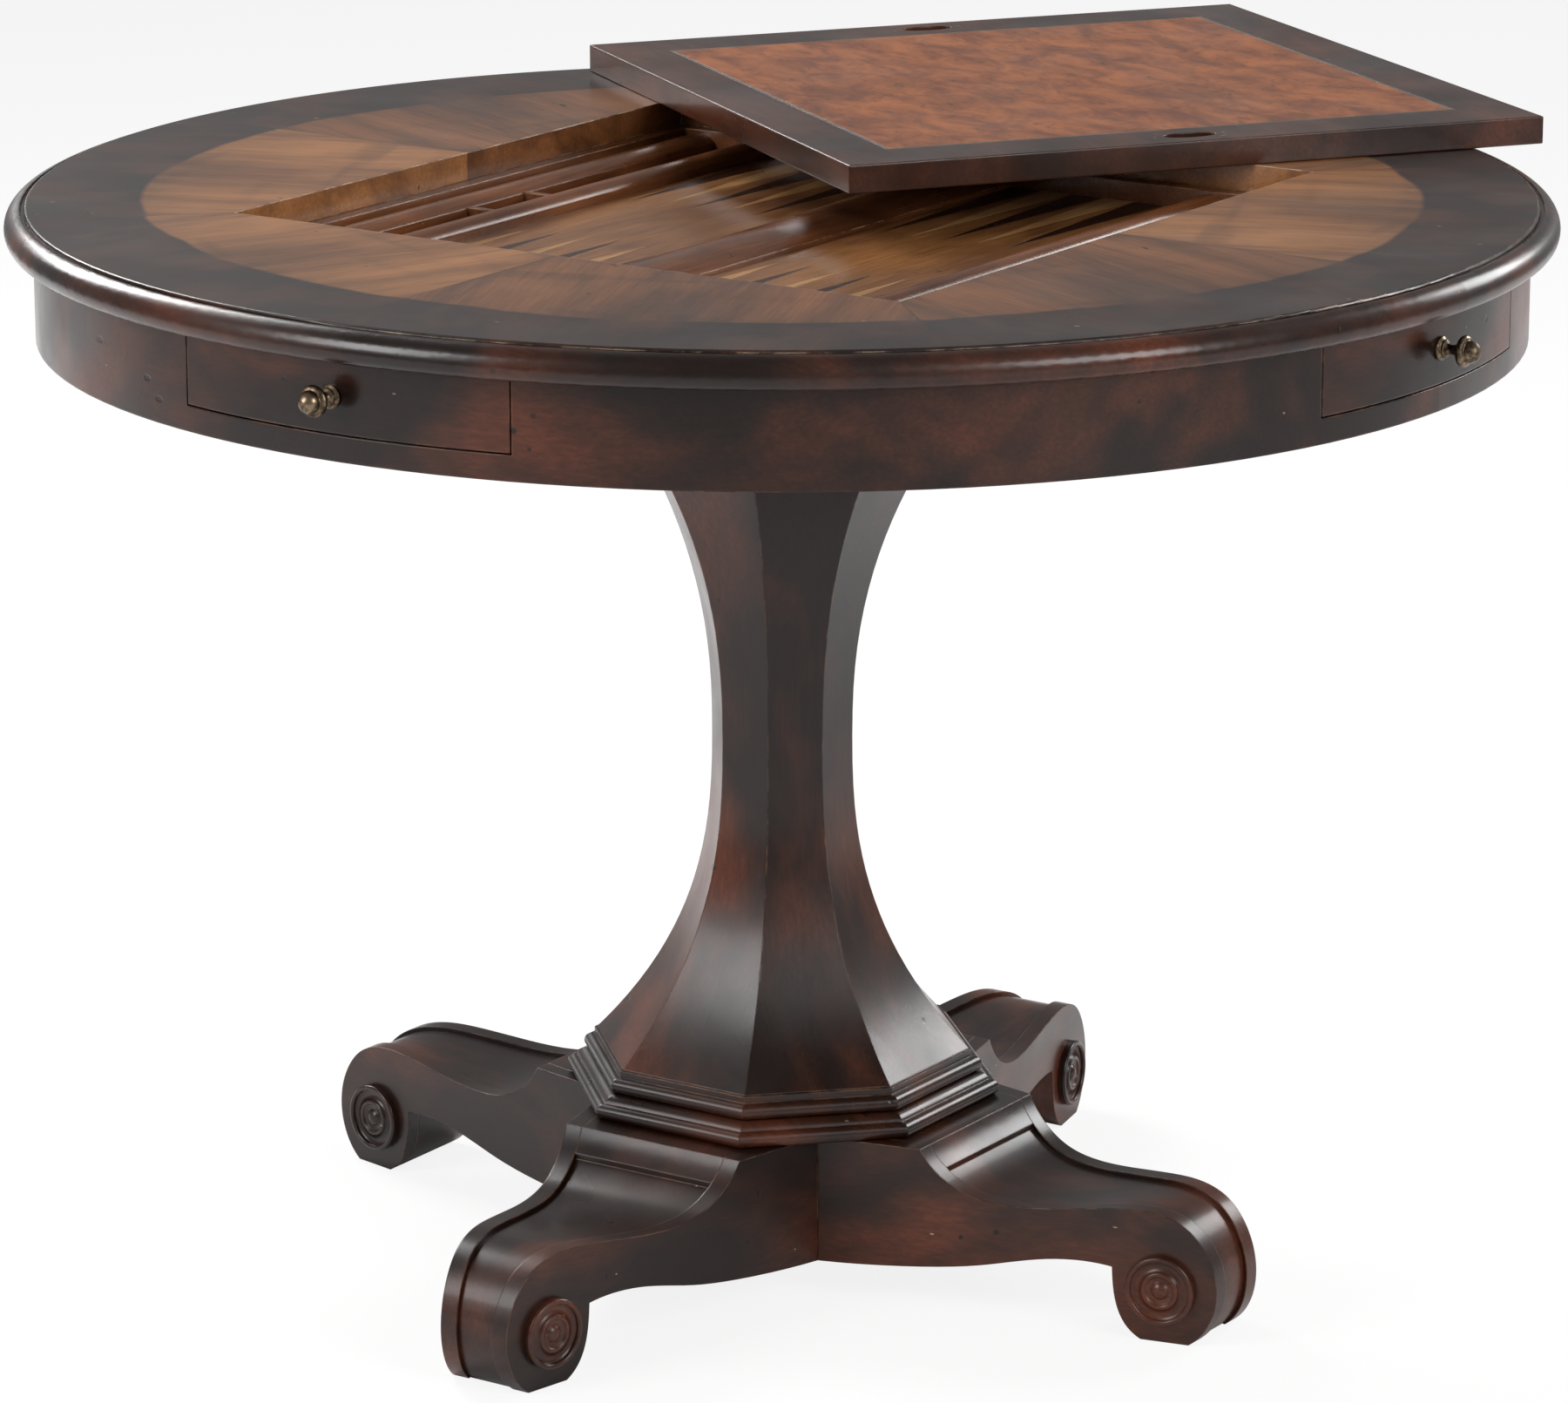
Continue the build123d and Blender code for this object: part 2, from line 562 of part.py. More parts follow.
lower_heights = [COLUMN_FOOT + i * (COLUMN_WAIST_HEIGHT - COLUMN_FOOT) / STATIONS
                 for i in range(STATIONS)]
upper_heights = [COLUMN_WAIST_HEIGHT + i * (PLATE_BOTTOM - COLUMN_WAIST_HEIGHT) / STATIONS
                 for i in range(STATIONS + 1)]
face_curve = [(face_distance(height), height) for height in lower_heights + upper_heights]

staves, lower_segments, upper_segments = [], [], []
for stave_index in range(STAVES):
    stave_angle = stave_index * 360 / STAVES
    with BuildPart() as stave:
        with BuildSketch(upright(stave_angle)):
            with BuildLine():
                Spline(*face_curve)
                Polyline(face_curve[-1], (COLUMN_BORE, PLATE_BOTTOM), (COLUMN_BORE, COLUMN_FOOT),
                         face_curve[0])
            make_face()
        extrude(amount=COLUMN_TOP, both=True)
        extrude(wedge(stave_angle, 2 * COLUMN_TOP), amount=TABLE_HEIGHT, mode=Mode.INTERSECT)
    staves.append(stave)

    with BuildPart() as lower_segment:
        with BuildSketch(upright(stave_angle)):
            with BuildLine():
                reach, nose = LOWER_MOULDING_REACH, MOULDING_NOSE
                bead_top = HUB_TOP + MOULDING_BEAD
                ThreePointArc((reach - nose, HUB_TOP), (reach, HUB_TOP + MOULDING_BEAD / 2),
                              (reach - nose, bead_top))
                ThreePointArc((reach - nose - 2, bead_top), (reach - nose - 4, bead_top + 3),
                              (reach - nose - 9, LOWER_MOULDING_TOP))
                Line((reach - nose, bead_top), (reach - nose - 2, bead_top))
                Polyline((reach - nose - 9, LOWER_MOULDING_TOP), (COLUMN_BORE, LOWER_MOULDING_TOP),
                         (COLUMN_BORE, HUB_TOP), (reach - nose, HUB_TOP))
            make_face()
        extrude(amount=COLUMN_TOP, both=True)
        extrude(wedge(stave_angle, 2 * COLUMN_TOP), amount=TABLE_HEIGHT, mode=Mode.INTERSECT)
    lower_segments.append(lower_segment)

    with BuildPart() as upper_segment:
        with BuildSketch(upright(stave_angle)):
            with BuildLine():
                reach, nose = UPPER_MOULDING_REACH, MOULDING_NOSE
                bead_top = LOWER_MOULDING_TOP + MOULDING_BEAD
                ThreePointArc((reach - nose, LOWER_MOULDING_TOP),
                              (reach, LOWER_MOULDING_TOP + MOULDING_BEAD / 2),
                              (reach - nose, bead_top))
                Polyline((reach - nose, bead_top), (COLUMN_BASE + 1.5, bead_top),
                         (COLUMN_BASE + 1.5, COLUMN_FOOT), (COLUMN_BORE, COLUMN_FOOT),
                         (COLUMN_BORE, LOWER_MOULDING_TOP), (reach - nose, LOWER_MOULDING_TOP))
            make_face()
        extrude(amount=COLUMN_TOP, both=True)
        extrude(wedge(stave_angle, 2 * COLUMN_TOP), amount=TABLE_HEIGHT, mode=Mode.INTERSECT)
    upper_segments.append(upper_segment)
save_group(staves, "column_staves")
save_group(lower_segments, "lower_base_moulding")
save_group(upper_segments, "upper_base_moulding")

with BuildPart() as hub_block:
    with BuildSketch(Plane.XY.offset(HUB_BOTTOM)):
        Rectangle(2 * HUB_HALF, 2 * HUB_HALF)
        Circle(ROD_HOLE, mode=Mode.SUBTRACT)
    extrude(amount=HUB_TOP - HUB_BOTTOM)
    with BuildSketch(Plane.XY.offset(HUB_BOTTOM)):
        Circle(WASHER_RADIUS + ROD_CLEARANCE)
    extrude(amount=ROD_POCKET_DEPTH, mode=Mode.SUBTRACT)
save(hub_block, "hub_block")

# A threaded rod pulls the plate, column, mouldings and hub together.
UPPER_SEAT = PLATE_BOTTOM + PLATE_THICKNESS - WASHER_THICKNESS - NUT_THICKNESS
with BuildPart() as tie_rod:
    with BuildSketch(Plane.XY.offset(NUT_FACE_LOW - WASHER_THICKNESS - ROD_STAND_OUT)):
        Circle(ROD_RADIUS)
    extrude(amount=UPPER_SEAT + WASHER_THICKNESS + NUT_THICKNESS
            - (NUT_FACE_LOW - WASHER_THICKNESS - ROD_STAND_OUT))
save(tie_rod, "tie_rod")

with BuildPart() as tie_rod_washers:
    for washer_low in (NUT_FACE_LOW - WASHER_THICKNESS, UPPER_SEAT):
        with BuildSketch(Plane.XY.offset(washer_low)):
            Circle(WASHER_RADIUS)
            Circle(ROD_RADIUS, mode=Mode.SUBTRACT)
        extrude(amount=WASHER_THICKNESS)
save(tie_rod_washers, "tie_rod_washers")

with BuildPart() as tie_rod_nuts:
    for nut_low in (NUT_FACE_LOW - WASHER_THICKNESS - NUT_THICKNESS, UPPER_SEAT + WASHER_THICKNESS):
        with BuildSketch(Plane.XY.offset(nut_low)):
            RegularPolygon(NUT_SIZE / 2, 6, major_radius=False)
            Circle(ROD_RADIUS, mode=Mode.SUBTRACT)
        extrude(amount=NUT_THICKNESS)
save(tie_rod_nuts, "tie_rod_nuts")

# ---- legs ------------------------------------------------------------------------
# Outer line of a leg, from the shoulder down its hollow and round the scroll.
LEG_LINE = [(LEG_SHOULDER, HUB_TOP), (178, 99.5), (198, 88.5), (226, 84.5), (264, 87.5),
            (300, 92.3), (322, 93.5), (350, 86.5), (367, 69), (LEG_REACH, 44), (371, 19), (356, 0)]
NECK = (301.0, 50.0)
FOOT_HEEL = 322.0  # where the flat under the foot starts
BELLY = [NECK, (280, 51.5), (250, 48.5), (208, 38.5), (160, 31), (HUB_HALF, HUB_BOTTOM)]


def drawn_in(line, inset):
    """The line moved inwards, each point square to the chord through its neighbours."""
    moved = []
    for index, (x, z) in enumerate(line):
        before, after = line[max(index - 1, 0)], line[min(index + 1, len(line) - 1)]
        chord = Vector(after[0] - before[0], after[1] - before[1]).normalized()
        moved.append((x + chord.Y * inset, max(z - chord.X * inset, 0)))
    moved[-1] = (moved[-1][0], 0)
    return moved


def leg_outline(angle, inset):
    """Side view of a leg: flat shoulder, hollow, scroll, notched neck and belly."""
    line = drawn_in(LEG_LINE, inset)
    with BuildSketch(upright(angle)) as outline:
        with BuildLine():
            Spline(*line)
            Line(line[-1], (FOOT_HEEL, 0))
            Spline((FOOT_HEEL, 0), (308, 14), (302.5, 32), NECK)
            Spline(*BELLY)
            Polyline(BELLY[-1], (HUB_HALF, line[0][1]), line[0])
        make_face()
    return outline.sketch


def half_width(out):
    """Half the leg's width at this distance from the axis."""
    return HUB_HALF - LEG_TAPER * (out - HUB_HALF)


NEAR, FAR = HUB_HALF, LEG_REACH + 10


def leg_plan(angle, inset):
    """Plan of the tapered leg, drawn in from both its edges."""
    near, far = half_width(NEAR) - inset, half_width(FAR) - inset
    with BuildSketch(plan(angle, 0)) as taper:
        Polygon((near, -NEAR), (far, -FAR), (-far, -FAR), (-near, -NEAR), align=None)
    return taper.sketch


rosettes = []
for side, side_angle in SIDES.items():
    with BuildPart() as leg_core:
        extrude(leg_outline(side_angle, 0), amount=HUB_HALF, both=True)
        with BuildSketch(plan(side_angle, 0)):
            with Locations((0, -(HUB_HALF + LEG_SHOULDER + BORDER_WIDTH) / 2)):
                Rectangle(2 * HUB_HALF, LEG_SHOULDER + BORDER_WIDTH - HUB_HALF)
        extrude(amount=TABLE_HEIGHT, mode=Mode.INTERSECT)
        extrude(leg_outline(side_angle, CHEEK_PROUD), amount=HUB_HALF, both=True)
        extrude(leg_plan(side_angle, CHEEK_WIDTH), amount=TABLE_HEIGHT, mode=Mode.INTERSECT)
    save(leg_core, f"leg_{side}")

    with BuildPart() as leg_cheeks:
        extrude(leg_outline(side_angle, 0), amount=HUB_HALF, both=True)
        extrude(leg_plan(side_angle, 0), amount=TABLE_HEIGHT, mode=Mode.INTERSECT)
        extrude(leg_plan(side_angle, CHEEK_WIDTH), amount=TABLE_HEIGHT, mode=Mode.SUBTRACT)
    save(leg_cheeks, f"leg_{side}_cheeks")

    # Turned rosette on each side of the scroll: bead, hollow, ring and button.
    out, across = outward(side_angle), outward(side_angle + 90)
    for sign in (-1, 1):
        face_normal = (across * sign + out * LEG_TAPER).normalized()
        centre = out * ROSETTE_OUT + across * sign * half_width(ROSETTE_OUT)
        centre += Vector(0, 0, ROSETTE_HEIGHT)
        rosette_plane = Plane(origin=centre, x_dir=(0, 0, 1),
                              z_dir=Vector(0, 0, 1).cross(face_normal))
        with BuildPart() as rosette:
            with BuildSketch(rosette_plane):
                with BuildLine():
                    rim, deep = ROSETTE_RADIUS, ROSETTE_DEPTH
                    Polyline((0, deep), (0, 0), (rim, 0), (rim, deep * 0.5))
                    ThreePointArc((rim, deep * 0.5), (rim * 0.93, deep), (rim * 0.86, deep * 0.5))
                    ThreePointArc((rim * 0.86, deep * 0.5), (rim * 0.7, deep * 0.3),
                                  (rim * 0.56, deep * 0.6))
                    ThreePointArc((rim * 0.56, deep * 0.6), (rim * 0.48, deep * 0.85),
                                  (rim * 0.4, deep * 0.6))
                    Line((rim * 0.4, deep * 0.6), (rim * 0.27, deep * 0.45))
                    button = rim * 0.27
                    ThreePointArc((button, deep * 0.45), dome_middle(button, deep * 0.45, deep),
                                  (0, deep))
                make_face()
            revolve(axis=Axis(centre, face_normal))
        rosettes.append(rosette)
save_group(rosettes, "foot_rosettes")
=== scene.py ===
# %% [markdown]
# # A round gaming table in dark, worn wood
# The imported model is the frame: every board, leg and knob is already in it at its real
# size. This lesson gives each piece its finish and sets up the studio around it.

# %% Load the frame
import json
import math

import bpy
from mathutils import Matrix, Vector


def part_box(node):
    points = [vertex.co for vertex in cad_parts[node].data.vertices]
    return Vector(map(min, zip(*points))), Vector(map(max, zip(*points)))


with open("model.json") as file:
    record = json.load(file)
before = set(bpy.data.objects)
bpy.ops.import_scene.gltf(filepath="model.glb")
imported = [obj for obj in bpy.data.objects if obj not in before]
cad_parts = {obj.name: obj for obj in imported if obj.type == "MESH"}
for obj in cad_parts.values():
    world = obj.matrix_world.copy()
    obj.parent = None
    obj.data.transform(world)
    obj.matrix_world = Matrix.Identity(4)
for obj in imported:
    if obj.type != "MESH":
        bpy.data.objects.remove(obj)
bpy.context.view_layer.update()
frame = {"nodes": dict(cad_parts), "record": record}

# %% [markdown]
# ## Sizes that the finishes need
# The top's veneer ends in a dark ring, so its finish needs the radius where the ring
# begins. The slab's radius is read from the frame; the ring's width is set here.

# %% Measure the top
SLAB_LOW, SLAB_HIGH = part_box("top_slab")
TOP_RADIUS = (SLAB_HIGH[0] - SLAB_LOW[0]) / 2
BORDER_WIDTH = 0.083  # of the dark ring inside the moulding
FIELD_RADIUS = TOP_RADIUS - BORDER_WIDTH
SECTORS = 8  # matched leaves of veneer round the opening
PANEL_TURN = math.radians(-35.3)
print("top radius", round(TOP_RADIUS, 4), "veneer field radius", round(FIELD_RADIUS, 4))


# %% [markdown]
# ## Small helpers for shader nodes
# A node tree reads better when a line says what is computed. `Tree` keeps one tree and
# adds nodes to it: `math`, `step`, `mix`, `mapped` and `noise` return the socket they make.

# %% Node helpers
class Tree:
    """Adds nodes to one shader tree and links whatever sockets it is given."""

    def __init__(self, tree):
        self.tree = tree

    def put(self, socket, value):
        """Link a socket, or set a plain value."""
        if isinstance(value, bpy.types.NodeSocket):
            self.tree.links.new(value, socket)
        elif value is not None:
            socket.default_value = value

    def node(self, kind, **settings):
        made = self.tree.nodes.new(kind)
        for name, value in settings.items():
            setattr(made, name, value)
        return made

    def math(self, operation, first, second=None):
        made = self.node("ShaderNodeMath", operation=operation)
        self.put(made.inputs[0], first)
        self.put(made.inputs[1], second)
        return made.outputs[0]

    def step(self, value, low, high, first=0.0, last=1.0):
        """Goes from first to last, smoothly, while value goes from low to high."""
        made = self.node("ShaderNodeMapRange", interpolation_type="SMOOTHSTEP")
        for socket, given in zip(made.inputs[:5], (value, low, high, first, last)):
            self.put(socket, given)
        return made.outputs[0]

    def mix(self, share, first, second):
        """A colour between first and second."""
        made = self.node("ShaderNodeMix", data_type="RGBA")
        self.put(made.inputs[0], share)
        self.put(made.inputs[6], first)
        self.put(made.inputs[7], second)
        return made.outputs[2]

    def mapped(self, vector, scale=(1, 1, 1), turn=0.0):
        """Turn the pattern about Z, then stretch it."""
        turned = self.node("ShaderNodeVectorRotate", rotation_type="Z_AXIS")
        self.put(turned.inputs["Vector"], vector)
        self.put(turned.inputs["Angle"], turn)
        made = self.node("ShaderNodeVectorMath", operation="MULTIPLY")
        self.put(made.inputs[0], turned.outputs[0])
        self.put(made.inputs[1], scale)
        return made.outputs[0]

    def noise(self, vector, scale, detail=4.0, rough=0.55, bend=0.0):
        made = self.node("ShaderNodeTexNoise")
        self.put(made.inputs["Vector"], vector)
        for name, value in (("Scale", scale), ("Detail", detail), ("Roughness", rough),
                            ("Distortion", bend)):
            self.put(made.inputs[name], value)
        return made.outputs["Fac"]

    def group(self, made_group, **values):
        """Use a node group; an underscore in a name stands for a space."""
        made = self.node("ShaderNodeGroup", node_tree=made_group)
        for name, value in values.items():
            self.put(made.inputs[name.replace("_", " ")], value)
        return made.outputs


def new_group(name, inputs, outputs):
    """A shader group with named sockets; inputs are (name, type, default)."""
    group = bpy.data.node_groups.new(name, "ShaderNodeTree")
    for label, kind, default in inputs:
        socket = group.interface.new_socket(label, in_out="INPUT", socket_type=kind)
        if default is not None:
            socket.default_value = default
    for label, kind in outputs:
        group.interface.new_socket(label, in_out="OUTPUT", socket_type=kind)
    tree = Tree(group)
    given = tree.node("NodeGroupInput").outputs
    out = tree.node("NodeGroupOutput").inputs
    return group, tree, given, out


# %% [markdown]
# ## Grain
# Wood shows fine pores drawn out along the board and a slow figure across it. Both are
# noise on coordinates squeezed along the grain, so one group serves every board.

# %% Grain group
VECTOR, FLOAT = "NodeSocketVector", "NodeSocketFloat"
grain_group, tree, given, out = new_group(
    "wood grain", [("Vector", VECTOR, None), ("Fineness", FLOAT, 1.0)],
    [("Pores", FLOAT), ("Figure", FLOAT), ("Patches", FLOAT)])
drawn_out = tree.mapped(given["Vector"], (5.0, 90.0, 90.0))
slow = tree.mapped(given["Vector"], (2.2, 14.0, 14.0))
pore_scale = tree.math("MULTIPLY", given["Fineness"], 4.0)
tree.put(out["Pores"], tree.noise(drawn_out, pore_scale, 5.0, 0.65))
tree.put(out["Figure"], tree.noise(slow, given["Fineness"], 5.0, 0.6, 0.6))
clouded = tree.mapped(given["Vector"], (5.0, 9.0, 9.0))
tree.put(out["Patches"], tree.noise(clouded, 1.0, 3.0, 0.6, 0.3))
print("group:", grain_group.name)

# %% [markdown]
# ## Distress
# The maker beats and scratches the wood before the last coats: short dark nicks, small
# worm holes, and pale flecks where the finish is knocked off. Each is a threshold on a
# cell pattern, thinned out by a slower noise so that they come in loose clusters.

# %% Distress group
distress_group, tree, given, out = new_group(
    "distress", [("Vector", VECTOR, None), ("Amount", FLOAT, 1.0)],
    [("Nicks", FLOAT), ("Flecks", FLOAT), ("Holes", FLOAT)])


def specks(tree, vector, scale, size, keep):
    """Dots smaller than size round a share of the cell centres."""
    cells = tree.node("ShaderNodeTexVoronoi")
    tree.put(cells.inputs["Vector"], vector)
    cells.inputs["Scale"].default_value = scale
    dot = tree.step(cells.outputs["Distance"], size, size * 0.6)
    split = tree.node("ShaderNodeSeparateColor")
    tree.put(split.inputs[0], cells.outputs["Color"])
    return tree.math("MULTIPLY", dot, tree.math("LESS_THAN", split.outputs[0], keep))


stretched = tree.mapped(given["Vector"], (1.0, 3.4, 2.6), turn=0.6)
clusters = tree.step(tree.noise(given["Vector"], 7.0, 2.0), 0.42, 0.62)
nicks = tree.math("MULTIPLY", specks(tree, stretched, 16.0, 0.11, 0.4), clusters)
crossed = tree.mapped(given["Vector"], (1.0, 2.2, 3.0), turn=-0.4)
flecks = tree.math("MULTIPLY", specks(tree, crossed, 31.0, 0.07, 0.22), clusters)
tree.put(out["Nicks"], tree.math("MULTIPLY", nicks, given["Amount"]))
tree.put(out["Flecks"], tree.math("MULTIPLY", flecks, given["Amount"]))
tree.put(out["Holes"], tree.math("MULTIPLY", specks(tree, given["Vector"], 24.0, 0.05, 0.16),
                                 given["Amount"]))
print("group:", distress_group.name)

# %% [markdown]
# ## Worn edges
# Hands and cloths rub the finish off the corners first. A Bevel node gives the normal as if
# the edge were rounded; where it differs from the true normal there is an edge.

# %% Edge group
edge_group, tree, given, out = new_group(
    "worn edge", [("Vector", VECTOR, None), ("Radius", FLOAT, 0.0015), ("Wear", FLOAT, 1.0)],
    [("Normal", VECTOR), ("Mask", FLOAT)])
bevel = tree.node("ShaderNodeBevel", samples=6)
tree.put(bevel.inputs["Radius"], given["Radius"])
surface = tree.node("ShaderNodeNewGeometry")
likeness = tree.node("ShaderNodeVectorMath", operation="DOT_PRODUCT")
tree.put(likeness.inputs[0], bevel.outputs[0])
tree.put(likeness.inputs[1], surface.outputs["Normal"])
edge = tree.step(likeness.outputs["Value"], 0.985, 0.9)
broken = tree.step(tree.noise(given["Vector"], 38.0, 4.0, 0.7), 0.42, 0.62)
tree.put(out["Normal"], bevel.outputs[0])
tree.put(out["Mask"], tree.math("MULTIPLY", tree.math("MULTIPLY", edge, broken), given["Wear"]))
print("group:", edge_group.name)


# %% [markdown]
# ## The wood finish
# Every board is stained, glazed dark and lacquered. `wood` mixes a dark and a warm colour by
# the grain, lays the nicks over it, and warms the rubbed edges. `turn` points the grain.

# %% Wood material
FLECK_COLOR = (0.42, 0.28, 0.18, 1)
NICK_COLOR = (0.006, 0.004, 0.003, 1)
PORE_DEPTH = 0.0008  # metres of relief in the wood
PATINA_DEPTH = 0.0003  # and in the metal


def new_material(name):
    """An empty material with its Principled shader."""
    material = bpy.data.materials.new(name)
    material.use_nodes = True
    tree = Tree(material.node_tree)
    return material, tree, material.node_tree.nodes["Principled BSDF"]


def finish_wood(tree, shader, where, color, pores, wear, distress, bump, edge_color,
                roughness=0.3):
    """Lay nicks, flecks, worn edges and the pores' relief over a wood colour."""
    marks = tree.group(distress_group, Vector=where, Amount=distress)
    edges = tree.group(edge_group, Vector=where, Wear=wear)
    color = tree.mix(edges["Mask"], color, edge_color)
    color = tree.mix(tree.math("MULTIPLY", marks["Flecks"], 0.75), color, FLECK_COLOR)
    color = tree.mix(tree.math("MAXIMUM", marks["Nicks"], marks["Holes"]), color, NICK_COLOR)
    tree.put(shader.inputs["Base Color"], color)
    smudge = tree.noise(where, 9.0, 3.0)
    tree.put(shader.inputs["Roughness"], tree.step(smudge, 0.25, 0.75, roughness - 0.06,
                                                   roughness + 0.1))
    sunk = tree.math("SUBTRACT", tree.math("MULTIPLY", pores, 0.25),
                     tree.math("MAXIMUM", marks["Nicks"], marks["Holes"]))
    relief = tree.node("ShaderNodeBump")
    relief.inputs["Strength"].default_value = bump
    relief.inputs["Distance"].default_value = PORE_DEPTH
    tree.put(relief.inputs["Height"], sunk)
    tree.put(relief.inputs["Normal"], edges["Normal"])
    tree.put(shader.inputs["Normal"], relief.outputs[0])
    shader.inputs["Coat Weight"].default_value = 0.12
    shader.inputs["Coat Roughness"].default_value = 0.14
    shader.inputs["Specular IOR Level"].default_value = 0.32


UPRIGHT = (0.0, math.pi / 2, 0.0)  # tips the grain from X to Z


def wood(name, dark, warm, turn=0.0, upright=False, amount=0.5, wear=0.8, distress=1.0,
         edge_color=(0.17, 0.075, 0.035, 1), roughness=0.3):
    """A stained board; its grain runs along X turned by `turn`, or upright."""
    material, tree, shader = new_material(name)
    where = tree.node("ShaderNodeTexCoord").outputs["Object"]
    along = where
    if upright:
        tipped = tree.node("ShaderNodeVectorRotate", rotation_type="EULER_XYZ")
        tree.put(tipped.inputs["Vector"], where)
        tipped.inputs["Rotation"].default_value = UPRIGHT
        along = tipped.outputs[0]
    along = tree.mapped(along, turn=-turn)
    grain = tree.group(grain_group, Vector=along)
    share = tree.step(grain["Patches"], 0.5 - amount * 0.2, 0.82 - amount * 0.2)
    streak = tree.step(grain["Figure"], 0.3, 0.7, 0.45, 1.0)
    color = tree.mix(tree.math("MULTIPLY", share, streak), dark, warm)
    shade = tree.step(grain["Pores"], 0.35, 0.7, 0.72, 1.12)
    dimmed = tree.node("ShaderNodeVectorMath", operation="SCALE")
    tree.put(dimmed.inputs[0], color)
    tree.put(dimmed.inputs["Scale"], shade)
    finish_wood(tree, shader, where, dimmed.outputs[0], grain["Pores"], wear, distress, 0.25,
                edge_color, roughness)
    return material


ESPRESSO, RED_BROWN = (0.010, 0.0042, 0.0027, 1), (0.105, 0.027, 0.0115, 1)
dark_wood = wood("espresso wood", ESPRESSO, RED_BROWN)
dark_wood_across = wood("espresso wood across", ESPRESSO, RED_BROWN, turn=math.pi / 2)
dark_wood_upright = wood("espresso wood upright", ESPRESSO, RED_BROWN, upright=True)
panel_wood = wood("espresso panel frame", (0.016, 0.0065, 0.004, 1), (0.085, 0.026, 0.012, 1),
                  turn=PANEL_TURN, amount=0.7)
well_wood = wood("chestnut well wood", (0.035, 0.0115, 0.005, 1), (0.19, 0.066, 0.024, 1),
                 turn=math.pi / 2, amount=1.3, distress=0.7, edge_color=(0.45, 0.26, 0.14, 1),
                 roughness=0.24)
board_veneer = wood("board veneer", (0.085, 0.030, 0.0105, 1), (0.27, 0.115, 0.038, 1),
                    turn=math.pi / 2, amount=1.2, wear=0.2, distress=0.4)
point_dark = wood("dark point veneer", (0.018, 0.0065, 0.004, 1), (0.06, 0.02, 0.009, 1),
                  turn=math.pi / 2, wear=0.0, distress=0.3)
point_light = wood("light point veneer", (0.26, 0.12, 0.042, 1), (0.44, 0.24, 0.095, 1),
                   turn=math.pi / 2, amount=1.1, wear=0.0, distress=0.3)
plain_wood = wood("unstained secondary wood", (0.17, 0.10, 0.05, 1), (0.32, 0.20, 0.11, 1),
                  amount=1.1, wear=0.2, distress=0.1, roughness=0.5)
woods = (dark_wood, dark_wood_across, dark_wood_upright, panel_wood, well_wood,
         board_veneer, point_dark, point_light, plain_wood)
print("woods:", ", ".join(material.name for material in woods))

# %% [markdown]
# ## The veneered top
# Matched leaves of veneer fan out round the opening, eight in all, each with its grain
# pointing outwards. Leaves catch the light differently, so those in two opposite
# quadrants are lighter. A dark ring with its own grain closes the field.

# %% Top veneer
top_veneer, tree, shader = new_material("top veneer")
where = tree.node("ShaderNodeTexCoord").outputs["Object"]
parts = tree.node("ShaderNodeSeparateXYZ")
tree.put(parts.inputs[0], where)
x, y = parts.outputs[0], parts.outputs[1]
squares = tree.math("ADD", tree.math("MULTIPLY", x, x), tree.math("MULTIPLY", y, y))
radius = tree.math("SQRT", squares)
angle = tree.math("ARCTAN2", y, x)
SECTOR_ANGLE = math.tau / SECTORS
leaf = tree.math("FLOOR", tree.math("DIVIDE", angle, SECTOR_ANGLE))
leaf_turn = tree.math("MULTIPLY", tree.math("ADD", leaf, 0.5), -SECTOR_ANGLE)
along = tree.mapped(where, turn=leaf_turn)
grain = tree.group(grain_group, Vector=along, Fineness=1.1)
# Quadrants 0 and 2 hold the back right and front left corners, where light leaves lie.
past_start = tree.math("ADD", angle, math.tau)
quadrant = tree.math("FLOOR", tree.math("DIVIDE", past_start, math.pi / 2))
light_leaf = tree.math("MODULO", tree.math("ADD", quadrant, 1.0), 2.0)
brown = tree.mix(tree.step(grain["Figure"], 0.32, 0.68), (0.060, 0.021, 0.0075, 1),
                 (0.20, 0.074, 0.024, 1))
honey = tree.mix(tree.step(grain["Figure"], 0.32, 0.68), (0.125, 0.046, 0.0145, 1),
                 (0.33, 0.138, 0.046, 1))
stripes = tree.noise(tree.mapped(along, (26.0, 5.0, 5.0)), 1.0, 2.0, 0.5, 0.4)
field = tree.mix(light_leaf, brown, honey)
field = tree.mix(tree.step(stripes, 0.45, 0.75, 0.0, 0.38), field, (0.026, 0.0095, 0.0045, 1))
in_leaf = tree.math("FRACT", tree.math("ADD", tree.math("DIVIDE", angle, SECTOR_ANGLE), 0.5))
seam_distance = tree.math("ABSOLUTE", tree.math("SUBTRACT", in_leaf, 0.5))
seam = tree.step(tree.math("MULTIPLY", seam_distance, radius), 0.0016, 0.0004)
field = tree.mix(tree.math("MULTIPLY", seam, 0.5), field, (0.012, 0.005, 0.003, 1))
ring_patches = tree.step(grain["Patches"], 0.42, 0.75)
ring = tree.mix(ring_patches, (0.012, 0.0055, 0.0036, 1), (0.060, 0.021, 0.0095, 1))
wander = tree.step(tree.noise(where, 6.0, 3.0), 0.3, 0.7, -0.004, 0.004)
border = tree.step(tree.math("ADD", radius, wander), FIELD_RADIUS - 0.003,
                   FIELD_RADIUS + 0.002)
GLAZE_WIDTH = 0.09  # over which the dark glaze fades in before the ring
glaze = tree.step(radius, FIELD_RADIUS - GLAZE_WIDTH, FIELD_RADIUS, 0.0, 0.35)
field = tree.mix(glaze, field, (0.020, 0.008, 0.004, 1))
color = tree.mix(border, field, ring)
pore_shade = tree.step(grain["Pores"], 0.35, 0.7, 0.78, 1.1)
dimmed = tree.node("ShaderNodeVectorMath", operation="SCALE")
tree.put(dimmed.inputs[0], color)
